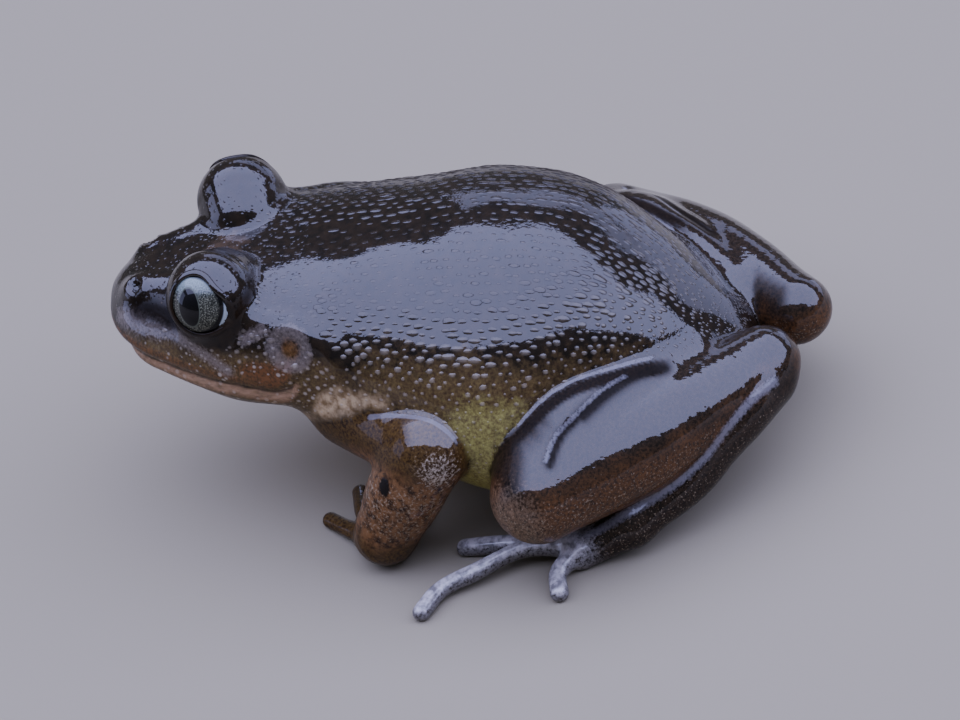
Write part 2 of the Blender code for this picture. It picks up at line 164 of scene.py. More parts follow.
# The stage. A light has a name, its place and size in metres, its turn in degrees from facing down and its
# share of the brightness that is set.
FLOOR_COLOUR, LIGHT_COLOUR, WORLD_COLOUR = "#9A917A", "#BEC5FF", (0.1, 0.1, 0.11, 1)
FLOOR_REACH = 900
LIGHTS = (
    ("overhead", (-0.045, 0.8, 0.6), (1.01, 3.2), (0, 0, 0), 1.0),
    ("far_side", (-0.75, 0.235, 0.37), (0.2, 0.91), (0, -90, 0), 0.35),
    ("head_side", (0.14, -1.0, 0.26), (0.5, 0.5), (75, 0, 8), 0.5),
    ("hip_side", (-0.73, 0.53, 0.14), (0.6, 0.24), (90, 0, -126), 0.4),
)
CAMERA_BEARING, CAMERA_HEIGHT, CAMERA_TILT = (math.radians(angle) for angle in (106, 36, 13))
CAMERA_TARGET, CAMERA_AWAY, CAMERA_FRAMES = (0.008, 0.00255, 0.0156), 0.40, 0.96 / 11  # metres


def mirrored(point, side):
    """The left side's point, or its twin on the right."""
    return np.asarray(point, float) * (side, 1, 1)


def twins(point):
    """A point of the left side and its twin on the right."""
    return [mirrored(point, side) for _, side in SIDES]


def unit(vectors):
    """Vectors with their length set to 1."""
    vectors = np.asarray(vectors, float)
    return vectors / np.linalg.norm(vectors, axis=-1, keepdims=True)


def step_up(value, start, end):
    """0 before start and 1 past end, with a level start and end: 3t^2 - 2t^3."""
    t = np.clip((value - start) / (end - start), 0, 1)
    return t * t * (3 - 2 * t)


def step_down(value, start, end):
    """1 before start and 0 past end."""
    return 1 - step_up(value, start, end)


def bell(value, width):
    """1 at 0 and less on both sides: e^(-(value / width)^2)."""
    return np.exp(-((value / width) ** 2))


def turns(count):
    """Evenly spaced angles round a whole turn."""
    return np.linspace(0, 2 * math.pi, count, endpoint=False)


def through(knots, values, x):
    """A smooth curve through the values at the knots: cubic pieces that share the mean slope at a knot."""
    knots, values = np.asarray(knots, float), np.asarray(values, float)
    slopes = np.gradient(values, knots, axis=0)
    i = np.clip(np.searchsorted(knots, x) - 1, 0, len(knots) - 2)
    span = knots[i + 1] - knots[i]
    t = (x - knots[i]) / span
    if values.ndim > 1:
        t, span = t[:, None], span[:, None]
    start = (2 * t**3 - 3 * t**2 + 1) * values[i] + (t**3 - 2 * t**2 + t) * span * slopes[i]
    end = (3 * t**2 - 2 * t**3) * values[i + 1] + (t**3 - t**2) * span * slopes[i + 1]
    return start + end


def evened_sections():
    """The section table at every 0.1 mm, averaged with a bell 1.2 mm wide so that no section shows."""
    every, reach = 0.1, 36
    y = np.arange(-36, 31, every)
    rows = through(SECTIONS[:, 0], SECTIONS[:, 1:], y)
    weights = bell(np.arange(-reach, reach + 1) * every, 1.2)
    weights /= weights.sum()
    padded = np.pad(rows, ((reach, reach), (0, 0)), mode="edge")
    return y, np.stack([np.convolve(column, weights, mode="valid") for column in padded.T], axis=1)


SECTION_Y, SECTION_ROWS = evened_sections()


def section(y):
    """Half width, widest height, rise of the back, fall of the belly, squareness and three shares.

    The first two shares are 0 along the body and grow to 1 at the tip of the snout and at the vent. The third
    is how much of the section's width and height is left there.
    """
    half, wide_at, back, belly, squareness = (np.interp(y, SECTION_Y, c) for c in SECTION_ROWS.T)
    to_snout = np.maximum(1 - (y - SNOUT_TIP) / SNOUT_ROUND, 0)
    to_vent = np.maximum(1 - (VENT_TIP - y) / VENT_ROUND, 0)
    full = np.sqrt(np.clip(1 - to_snout**2, 0, 1) * np.clip(1 - to_vent**2, 0, 1))
    tip = np.where(y < 0, SNOUT_HEIGHT, VENT_HEIGHT)
    middle = tip + (wide_at - tip) * full
    return half, middle, back - wide_at, wide_at - belly, squareness, to_snout, to_vent, full


def on_section(y, turn):
    """Points of the trunk at places along Y and turns about its middle.

    A section is a superellipse: cosine and sine are raised to 2 over its squareness, and keep their signs.
    """
    half, middle, rise, fall, squareness, _, _, full = section(y)
    across, along = np.cos(turn), np.sin(turn)
    power = 2 / np.where(along > 0, squareness, BELLY_SQUARENESS)
    x = half * full * np.sign(across) * np.abs(across) ** power
    z = middle + np.where(along > 0, rise, fall) * full * np.sign(along) * np.abs(along) ** power
    return np.stack(np.broadcast_arrays(x, y, z), axis=-1)


def trunk_level(points):
    """0 on the trunk's surface and less inside: the length of (superellipse share, snout, vent), less 1."""
    x, y, z = points.T
    half, middle, rise, fall, squareness, to_snout, to_vent, _ = section(y)
    above = z > middle
    power = np.where(above, squareness, BELLY_SQUARENESS)
    across = np.abs(x) / half
    along = np.abs(z - middle) / np.where(above, rise, fall)
    share = (across**power + along**power) ** (2 / power)
    return np.sqrt(share + to_snout**2 + to_vent**2) - 1


def slope(function, points, reach):
    """The way in which a function rises fastest, and how fast, from its change over a short reach."""
    moves = np.eye(3) * reach
    return np.stack([function(points + m) - function(points - m) for m in moves], axis=1) / (2 * reach)


def trunk_distance(points):
    """Distance to the trunk in mm: its level over its own slope, set back below the mouth line."""
    steep = np.linalg.norm(slope(trunk_level, points, 0.05), axis=1)
    distance = trunk_level(points) / np.maximum(steep, 0.02)
    y = points[:, 1]
    over_mouth = points[:, 2] - np.interp(y, *MOUTH.T)
    at_mouth = step_down(y, MOUTH_CORNER - 1.0, MOUTH_CORNER + 1.6)
    jaw = step_up(-over_mouth, 0.0, 0.4) * (0.05 + 0.6 * step_up(-y, 29, 32))
    groove = 0.26 * bell(over_mouth, 0.26)
    lips = 0.14 * bell(over_mouth - 0.9, 0.6) + 0.2 * bell(over_mouth + 1.1, 0.7)
    return distance + at_mouth * (jaw + groove - lips)


def onto_trunk(points, depth=0.0):
    """Moves points near the trunk onto it by steps against its slope, and then to a depth under it."""
    points = np.atleast_2d(points)
    for _ in range(8):
        way = slope(trunk_level, points, 0.05)
        points = points - trunk_level(points)[:, None] * way / (way**2).sum(axis=1, keepdims=True)
    return points - unit(way) * np.reshape(depth, (-1, 1))


def make_tube(kind, joints, radii, blends, every=1.0):
    """A tube along a smooth line through the joints: points about 1 mm apart with radius and softness."""
    joints = np.asarray(joints, float)
    reach = np.concatenate([[0], np.cumsum(np.linalg.norm(np.diff(joints, axis=0), axis=1))])
    s = np.linspace(0, reach[-1], int(math.ceil(reach[-1] / every)) + 2)
    return {
        "kind": kind,
        "points": through(reach, joints, s),
        "radii": through(reach, radii, s),
        "blends": np.interp(s, reach, blends),
    }


def behind(side):
    """How far the leg of a side sits back: the right one is folded further back."""
    return (0, RIGHT_LEG_BEHIND if side < 0 else 0, 0)


def limb_tubes():
    """Every limb, finger and toe of both sides as a tube."""
    tubes = []
    for _, side in SIDES:
        for rows, shift in ((ARM, (0, 0, 0)), (LEG, behind(side))):
            for kind, *joints in rows:
                path = [mirrored(point, side) + shift for point, _, _ in joints]
                tubes.append(make_tube(kind, path, [j[1] for j in joints], [j[2] for j in joints]))
        for kind, rows, shift in (("finger", FINGERS, (0, 0, 0)), ("toe", TOES, behind(side))):
            for row in rows:
                path = [mirrored(point, side) + shift for point in row]
                ends = [(a, *[b] * (len(row) - 2), c) for a, b, c in (DIGIT_RADII, DIGIT_BLENDS)]
                tubes.append(make_tube(kind, path, *ends, every=0.7))
    return tubes


def head_tubes():
    """The slope from each upper eyelid to the head's middle, and the low folds of the head's skin."""
    tubes = []
    for _, side in SIDES:
        (inner, inner_radius), outer = LID_SLOPE, mirrored(EYE_CENTRE, side)
        tubes.append(make_tube("lid", [outer, mirrored(inner, side)], [LID_RADIUS, inner_radius], [1.3, 0.8]))
        for rows in HEAD_FOLDS:
            points = np.array([mirrored(point, side) for point, _, _, _ in rows])
            radii, depths, blends = np.array([row[1:] for row in rows]).T
            tubes.append(make_tube("fold", onto_trunk(points, depths), radii, blends))
    return tubes


def edge_tubes():
    """The fine edges, grooves and lines of painted light and shade of both sides: tubes whose middle lies in
    the skin, each with its rise.
    """
    tubes = []
    for _, side in SIDES:
        for kind, radius, rise, *points in EDGES:
            shift = behind(side) if points[0][1] > 5 else (0, 0, 0)
            path = [mirrored(point, side) + shift for point in points]
            tube = make_tube(kind, path, [radius] * len(path), [0.5] * len(path), every=0.8)
            tubes.append({**tube, "rise": rise, "points": projected(tube["points"], 4, body_distance)})
    return tubes


LIMB_TUBES = limb_tubes()
HEAD_TUBES = head_tubes()


def tube_distance(points, tube):
    """Distance to a tube and its softness there: the nearest of its round-ended, tapering lengths."""
    start, way = tube["points"][:-1], np.diff(tube["points"], axis=0)
    offset = points[:, None] - start
    t = np.clip(np.einsum("ijk,jk->ij", offset, way) / (way**2).sum(1), 0, 1)
    gone = np.linalg.norm(offset - t[:, :, None] * way, axis=2)
    radius = tube["radii"][:-1] + t * np.diff(tube["radii"])
    distances = gone - radius
    nearest = distances.argmin(axis=1)
    rows = np.arange(len(points))
    blend = tube["blends"][nearest] + t[rows, nearest] * np.diff(tube["blends"])[nearest]
    return distances[rows, nearest], blend


def near_tube(points, tube, margin=2.0):
    """The points in the box about a tube, where alone its distance matters."""
    grown = tube["radii"].max() + tube["blends"].max() + margin
    low, high = tube["points"].min(0) - grown, tube["points"].max(0) + grown
    return np.flatnonzero(((points > low) & (points < high)).all(axis=1))


def smooth_min(a, b, width):
    """The lower of two values, eased by (width - difference)^2 / 4 width where they are within the width."""
    overlap = np.maximum(width - np.abs(a - b), 0) / width
    return np.minimum(a, b) - overlap**2 * width / 4


def eye_frame(side, looks):
    """The middle of the eyeball, and its ways forward, back along the head and up."""
    look = unit(mirrored(looks, side))
    centre = mirrored(EYE_CENTRE, side) + unit(mirrored(EYE_LOOKS, side)) * EYE_FORWARD
    back = unit(np.cross((0, 0, 1), look)) * side
    up = np.cross(look, back) * side
    return centre, look, back, up


def lid_opening(turn):
    """Half width of the gap between the lids on each bearing: an oval with a corner behind, which the upper
    lid cuts off behind and above."""
    corner = bell(turn + 0.4, 0.5) + bell(turn + 0.4 - 2 * math.pi, 0.5)
    return 2.72 - 0.12 * np.cos(2 * turn) + 0.5 * corner - 0.4 * bell(turn - 0.8, 0.5)


def eye_socket(points, side):
    """Distance to the space in front of the eyeball that the lids leave open, less inside."""
    centre, look, back, up = eye_frame(side, OPENING_LOOKS)
    offset = points - centre
    ahead = offset @ look
    a, b = offset @ back, offset @ up
    beside = np.hypot(a, b) - lid_opening(np.arctan2(b, a))
    in_front = np.where(ahead > 0, beside, FAR_OFF)
    return np.maximum(in_front, (EYE_RADIUS - 0.25) - np.linalg.norm(offset, axis=1))


NOSTRILS, EARDRUMS = ([onto_trunk(twin)[0] for twin in twins(point)] for point in (NOSTRIL, EARDRUM))


def nearest_of(points, centres):
    """Distance to the nearest of a few points."""
    return np.min([np.linalg.norm(points - centre, axis=1) for centre in centres], axis=0)


def swell(points):
    """Slow unevenness of living flesh: six crossing waves, 4 to 9 mm long, that add up to 0.1 mm at most."""
    rng = np.random.default_rng(SEED)
    ways = unit(rng.normal(size=(6, 3))) * (2 * math.pi / rng.uniform(4, 9, (6, 1)))
    return np.sin(points @ ways.T + rng.uniform(0, 6.28, 6)).sum(axis=1) * 0.016


def body_distance(points):
    """Distance to the skin but for its fine edges: trunk, lids, folds and limbs, run softly together.

    Nostrils and eardrums are rings and pits added to it, and the floor cuts it off at z = 0.
    """
    distance = trunk_distance(points)
    for tube in HEAD_TUBES + LIMB_TUBES:
        near = near_tube(points, tube)
        away, blend = tube_distance(points[near], tube)
        distance[near] = smooth_min(distance[near], away, blend)
    for _, side in SIDES:
        distance = -smooth_min(-distance, eye_socket(points, side), 0.2)
    nostril, drum = nearest_of(points, NOSTRILS), nearest_of(points, EARDRUMS)
    distance += 0.8 * bell(nostril, 0.5) - 0.16 * bell(nostril - 1.0, 0.4)
    distance += 0.12 * step_down(drum, 0.9, 2.0) - 0.1 * bell(drum - 2.2, 0.5)
    distance += swell(points)
    return -smooth_min(-distance, points[:, 2], 0.25)


def skin_distance(points):
    """Distance to the frog's skin in mm: each fine edge adds rise exp(-(distance to it / its radius)^2)."""
    distance = body_distance(points)
    for tube in [tube for tube in EDGE_TUBES if tube["rise"]]:
        near = near_tube(points, tube)
        width = tube["radii"][0]
        away = tube_distance(points[near], tube)[0] + width
        distance[near] -= tube["rise"] * bell(away, width)
    return distance


def projected(points, steps, function=skin_distance):
    """Moves points onto a surface: each step is distance over slope, against the slope, 0.3 mm at most."""
    for _ in range(steps):
        distance = np.clip(function(points), -0.3, 0.3)
        way = slope(function, points, 0.04)
        steep = np.maximum((way**2).sum(axis=1), 0.2)
        points = points - distance[:, None] * way / steep[:, None]
    return points


EDGE_TUBES = edge_tubes()


def grid_faces(rows, columns):
    """Quads of a grid whose columns close on themselves, as rows of four indices."""
    a = np.arange((rows - 1) * columns).reshape(rows - 1, columns)
    b = np.roll(a, -1, axis=1)
    return np.stack([a, b, b + columns, a + columns], axis=-1).reshape(-1, 4)


def fan_faces(ring, pole):
    """Triangles from a closed ring of indices to a pole."""
    return np.stack([ring, np.roll(ring, -1), np.full(len(ring), pole)], axis=-1)


def closed_loft(rings, first, last):
    """Points, quads and triangles of a loft through closed rings, with a pole at each end."""
    rows, columns = rings.shape[:2]
    points = np.concatenate([rings.reshape(-1, 3), [first, last]])
    low, pole = np.arange(columns), rows * columns
    triangles = np.concatenate([fan_faces(low, pole)[:, ::-1], fan_faces(low + pole - columns, pole + 1)])
    return points, grid_faces(rows, columns), triangles


def add_mesh(name, points, quads, triangles=None):
    """A mesh object from points in mm and index rows, moved to the model's place and shaded smooth."""
    triangles = np.empty((0, 3), int) if triangles is None else triangles
    mesh = bpy.data.meshes.new(name)
    points = (np.asarray(points, float) - (0, MIDDLE_Y, 0)) * MM
    loops = np.concatenate([quads.ravel(), triangles.ravel()]).astype(np.int32)
    sizes = np.concatenate([np.full(len(quads), 4), np.full(len(triangles), 3)]).astype(np.int32)
    starts = np.concatenate([[0], np.cumsum(sizes)[:-1]]).astype(np.int32)
    mesh.vertices.add(len(points))
    mesh.vertices.foreach_set("co", points.astype(np.float32).ravel())
    mesh.loops.add(len(loops))
    mesh.loops.foreach_set("vertex_index", loops)
    mesh.polygons.add(len(sizes))
    mesh.polygons.foreach_set("loop_start", starts)
    mesh.update(calc_edges=True)
    mesh.validate()
    mesh.shade_smooth()
    obj = bpy.data.objects.new(name, mesh)
    bpy.context.scene.collection.objects.link(obj)
    return obj


def read(items, name, width, kind=np.float32):
    """A value of each of a mesh's items, as rows of the given width."""
    values = np.empty(len(items) * width, kind)
    items.foreach_get(name, values)
    return values.reshape(-1, width)


def mesh_points(mesh):
    """A mesh's points in the tables' millimetres."""
    return read(mesh.vertices, "co", 3).astype(float) / MM + (0, MIDDLE_Y, 0)


def set_points(mesh, points):
    """Moves a mesh's points to places in the tables' millimetres."""
    mesh.vertices.foreach_set("co", ((points - (0, MIDDLE_Y, 0)) * MM).astype(np.float32).ravel())
    mesh.update()


def set_attributes(mesh, values):
    """Gives a mesh named values, one for each of its points."""
    for name, value in values.items():
        mesh.attributes.new(name, "FLOAT", "POINT").data.foreach_set("value", np.asarray(value, np.float32))


def trunk_loft():
    """Rings of superellipses along the trunk, closer together towards snout and vent."""
    turn = np.linspace(0, math.pi, 72)[1:-1]
    y = SNOUT_TIP + (VENT_TIP - SNOUT_TIP) * (1 - np.cos(turn)) / 2
    rings = on_section(y[:, None], turns(72))
    return closed_loft(rings, (0, SNOUT_TIP, SNOUT_HEIGHT), (0, VENT_TIP, VENT_HEIGHT))


def circles(across, over, sides):
    """Round rings of radius 1: cos(turn) across + sin(turn) over."""
    turn = turns(sides)[:, None]
    return np.cos(turn) * across[..., None, :] + np.sin(turn) * over[..., None, :]


def tube_loft(tube, sides=18, caps=5):
    """Round rings along a tube's line, with a half ball of rings past each end."""
    points, radii = tube["points"], tube["radii"]
    ways = unit(np.gradient(points, axis=0))
    turn = np.linspace(0, math.pi / 2, caps + 1)[1:-1]
    before = points[0] - np.cos(turn)[:, None] * radii[0] * ways[0]
    after = points[-1] + np.cos(turn)[::-1, None] * radii[-1] * ways[-1]
    centres = np.concatenate([before, points, after])
    sizes = np.concatenate([radii[0] * np.sin(turn), radii, radii[-1] * np.sin(turn)[::-1]])
    ways = np.concatenate([np.repeat(ways[:1], caps - 1, 0), ways, np.repeat(ways[-1:], caps - 1, 0)])
    across = unit(np.cross(ways, (0.13, 0.21, 0.97)))
    rings = centres[:, None] + sizes[:, None, None] * circles(across, np.cross(across, ways), sides)
    return closed_loft(rings, points[0] - ways[0] * radii[0], points[-1] + ways[-1] * radii[-1])


def ball_loft(centre, radius, rows, columns, axis):
    """Rings of a ball about an axis: distance from the axis is r sin(turn), height r cos(turn)."""
    turn = np.linspace(0, math.pi, rows + 2)[1:-1, None, None]
    axis = unit(axis)
    across = unit(np.cross(axis, (0.2, 0.9, 0.1)))
    circle = circles(across, np.cross(axis, across), columns)
    rings = centre + radius * (np.cos(turn) * axis + np.sin(turn) * circle)
    return closed_loft(rings, centre + axis * radius, centre - axis * radius)


def joined(lofts):
    """Several lofts as one set of points, quads and triangles."""
    points, quads, triangles = zip(*lofts)
    starts = np.cumsum([0] + [len(p) for p in points])
    faces = ([rows + start for rows, start in zip(kind, starts)] for kind in (quads, triangles))
    return np.concatenate(points), *(np.concatenate(rows) for rows in faces)


def weld(obj, voxel):
    """Runs a voxel remesh, which welds all lofts into one closed surface, and applies it."""
    change = obj.modifiers.new("weld", "REMESH")
    change.mode = "VOXEL"
    change.voxel_size = voxel
    change.adaptivity = 0
    mesh = bpy.data.meshes.new_from_object(obj.evaluated_get(bpy.context.evaluated_depsgraph_get()))
    obj.modifiers.clear()
    obj.data = mesh
    mesh.shade_smooth()


def relaxed(points, edges, share):
    """Moves each point towards the mean of its neighbours."""
    count = np.bincount(edges.ravel(), minlength=len(points))
    total = np.zeros_like(points)
    for axis in range(3):
        total[:, axis] = np.bincount(edges[:, 0], points[edges[:, 1], axis], len(points))
        total[:, axis] += np.bincount(edges[:, 1], points[edges[:, 0], axis], len(points))
    return points + share * (total / np.maximum(count, 1)[:, None] - points)


def paint_regions(points, outward):
    """Where each colour of skin lies, as shares from 0 to 1, and distances for the crisp lines.

    A limb's share is exp(-distance / 0.5 mm) against that of the trunk. An arc is the painted highlight, a
    pale
    line where knee and elbow meet the trunk: it follows a fixed difference between the distances to the two.
    Grooves and the wedge under the knee's arc are painted shade. The water's film is full on skin that faces
    up. It is a quarter on skin that faces down, less on skin that mirrors the pale floor towards the photo's
    camera, and next to nothing in a groove.
    """
    x, y, z = points.T
    side_to, front_to, up_to = outward.T
    near = {"trunk": trunk_distance(points)}
    for tube in LIMB_TUBES:
        rows = near_tube(points, tube)
        away = near.setdefault(tube["kind"], np.full(len(points), FAR_OFF))
        away[rows] = np.minimum(away[rows], tube_distance(points[rows], tube)[0])
    nearest = np.min(list(near.values()), axis=0)
    share = {kind: np.exp(-(away - nearest) / 0.5) for kind, away in near.items()}
    total = sum(share.values())
    share = {kind: value / total for kind, value in share.items()}
    trunk, arm, leg = share["trunk"], share["arm"], share["shank"] + share["thigh"]

    # Distances to the lines of painted highlight, painted shade and painted sheen.
    line = {kind: np.full(len(points), FAR_WIDTHS) for kind in ("edge", "groove", "painted_sheen_and_pale_patch")}
    for tube in EDGE_TUBES:
        rows = near_tube(points, tube)
        kind = tube["kind"] if tube["kind"] in line else "edge"
        away = (tube_distance(points[rows], tube)[0] + tube["radii"][0]) / tube["radii"][0]
        line[kind][rows] = np.minimum(line[kind][rows], away)
    off_leg = near["trunk"] - np.minimum(near["thigh"], near["shank"])
    off_arm = near["trunk"] - near["arm"]
    # The arcs of knee and elbow are a painted highlight, a pale line where they meet the trunk.
    at_knee = step_up(y, 6, 8) * step_down(y, 19, 21.5) * step_up(z, 11, 13)
    at_elbow = step_up(y, -8, -6) * step_down(y, 2, 3.5) * step_up(z, 10.5, 12)
    # Painted shade: a dark wedge just under the knee's arc.
    shade_under_arc = at_knee * step_up(off_leg, 0.45, 0.65) * step_down(off_leg, 1.5, 1.8)
    leg_arc = np.abs(off_leg - 0.25) / 0.2 + FAR_WIDTHS * (1 - at_knee)
    arm_arc = np.abs(off_arm - 0.45) / 0.25 + FAR_WIDTHS * (1 - at_elbow)
    highlight_arc = np.minimum(leg_arc, arm_arc)
    groove = np.minimum(1.4 * bell(line["groove"], 1), 1)

    film = 0.25 + 0.75 * step_up(up_to, 0.15, 0.55)
    film *= 1 - 0.8 * (1 - trunk - share["toe"]) * step_up(-front_to, 0.1, 0.5)  # limbs, facing forwards
    film *= 1 - 0.85 * leg * step_up(-front_to, -0.05, 0.3)  # thigh and shank, facing forwards
    film *= 1 - 0.8 * trunk * step_up(-side_to, 0.3, 0.5) * step_up(z, 15, 20)  # right half of the back
    film *= 1 - 0.6 * trunk * step_up(-front_to, 0.7, 0.9)  # front of the snout
    film = film * (1 - 0.95 * groove) * (1 - shade_under_arc) * (1 - 0.5 * bell(np.minimum(line["edge"], highlight_arc), 1))

    head = step_down(y, -10, -5)
    chest = trunk + arm * step_down(np.abs(x), 10.5, 13.5) * step_down(z, 10, 12.5)
    flank = trunk * (1 - head) * step_down(y, 16, 24)
    flank_to = 23.5 - 0.25 * np.maximum(y - 4, 0)
    throat_to = 14.5 + 4.0 * step_up(y, -14, -9.5)
    toe = share["toe"] + share["tarsus"] * step_down(z, 2.5, 5) * step_down(y, 10, 16)
    drum = nearest_of(points, EARDRUMS)
    over_mouth = z - np.interp(y, *MOUTH.T)
    before_corner = step_down(y, MOUTH_CORNER - 0.3, MOUTH_CORNER + 1.0)
    off_brow = np.linalg.norm((points - (1.0, -20.5, 24.7)) / (4.0, 3.0, 2.0), axis=1)
    return {
        "head": trunk * step_down(y, -15, -10),
        "flank": flank * step_down(z - flank_to, -6, 0.5),
        "low_flank": flank * step_down(z + 0.07 * (y - 5) ** 2, 14, 20.5),
        # Painted highlight lines of the crease and the tarsus's ridge.
        "edge": line["edge"],
        "highlight_arc": highlight_arc,
        # Painted shade in the grooves and in the wedge under the knee's arc.
        "groove": np.maximum(groove, 0.7 * shade_under_arc),
        "wet": film,
        # Painted sheen along the snout's side and upper lip, with the pale granular patch.
        "painted_sheen_and_pale_patch": bell(line["painted_sheen_and_pale_patch"], 1),
        "elbow": arm * step_down(nearest_of(points, twins((20.2, 0.6, 12.6))), 0.8, 4.4),
        "knee": share["shank"] * step_down(nearest_of(points, twins((22.8, 7.5, 9.0))), 1.0, 6.0),
        "brow": step_down(off_brow, 0.4, 1.2),
        "spot": np.linalg.norm((points - SPOT) / (0.65, 0.65, 1.0), axis=1),
        # Painted shadow: the forearm's rusty tone fades out towards the floor, leaving its lower end in the
        # darker arm mottling.
        "forearm": arm * step_down(z, 10, 15) * step_up(np.abs(x), 12.5, 15.5) * step_up(z, 0, 5),
        "tarsus": share["tarsus"],
        "cheek": trunk * head * step_down(z, 18.5, 22.5) * step_up(np.abs(x), 4, 8),
        "orange": orange_share(points) * trunk,
        "throat": chest * step_down(y, -6, -2) * step_down(z - throat_to, -2.5, 0.5),
        # The low trunk takes the belly's tone, which is darkened: partly the belly's own colour, partly
        # painted shade under the body.
        "belly": trunk * step_down(z, 3.5, 9),
        "arm": arm + share["hand"] + share["finger"],
        "leg": leg + share["tarsus"],
        "shank_side": share["shank"] * step_down(z, 9.5, 14.5),
        "toe": toe,
        # Painted light: the toes' upward faces take the pale tone, their sides and undersides stay dark as
        # painted shade.
        "toe_lit_top": toe * step_up(up_to, 0.0, 0.9),
        "mouth": over_mouth + FAR_OFF * (1 - before_corner),
        "lip": before_corner * step_up(over_mouth, -2.2, -0.6) * step_down(over_mouth, -0.1, 0.4),
        "eardrum": drum,
        "ring": step_up(drum, 0.3, 1.2) * step_down(drum, 2.0, 2.9),
        "nostril": nearest_of(points, NOSTRILS),
    }


def orange_share(points):
    """The rusty patch between the eye and the corner of the mouth, and the rusty band above the lip."""
    y, over_mouth = points[:, 1], points[:, 2] - np.interp(points[:, 1], *MOUTH.T)
    patch = step_down(np.hypot((y + 15.6) / 3.6, (over_mouth - 1.9) / 1.7), 0.5, 1.1)
    band = step_up(over_mouth, 0.1, 0.6) * step_down(over_mouth, 1.0, 1.9) * step_down(y, -16, -13)
    return np.maximum(patch, 0.75 * band)


def linear(code):
    """Linear red, green and blue of an sRGB hex colour."""
    parts = [int(code[i : i + 2], 16) / 255 for i in (1, 3, 5)]
    return tuple(c / 12.92 if c <= 0.04045 else ((c + 0.055) / 1.055) ** 2.4 for c in parts)


def new_material(name):
    """An empty node material with its output."""
    material = bpy.data.materials.new(name)
    material.use_nodes = True
    material.node_tree.nodes.clear()
    return material, material.node_tree


def add(tree, kind, inputs=None, output=0, **settings):
    """Adds a node, sets its settings, sets or links its inputs, and gives one of its outputs."""
    node = tree.nodes.new("ShaderNode" + kind)
    for name, value in settings.items():
        setattr(node, name, value)
    for name, value in (inputs or {}).items():
        if isinstance(value, bpy.types.NodeSocket):
            tree.links.new(value, node.inputs[name])
        else:
            node.inputs[name].default_value = value
    return node.outputs[output] if node.outputs else node


# Noises: size of a patch in mm, its stretch along the body (1 is none, less is longer), detail and roughness.
SKIN_NOISES = {
    "slow": (2.6, 1.0, 3.0, 0.5),
    "middling": (0.9, 1.0, 3.0, 0.6),
    "fine": (0.28, 1.0, 3.0, 0.65),
    "tiny": (0.2, 1.0, 2.0, 0.6),
    "blotch": (0.7, 1.0, 4.0, 0.7),
    "streak": (0.3, 0.25, 3.0, 0.6),
}

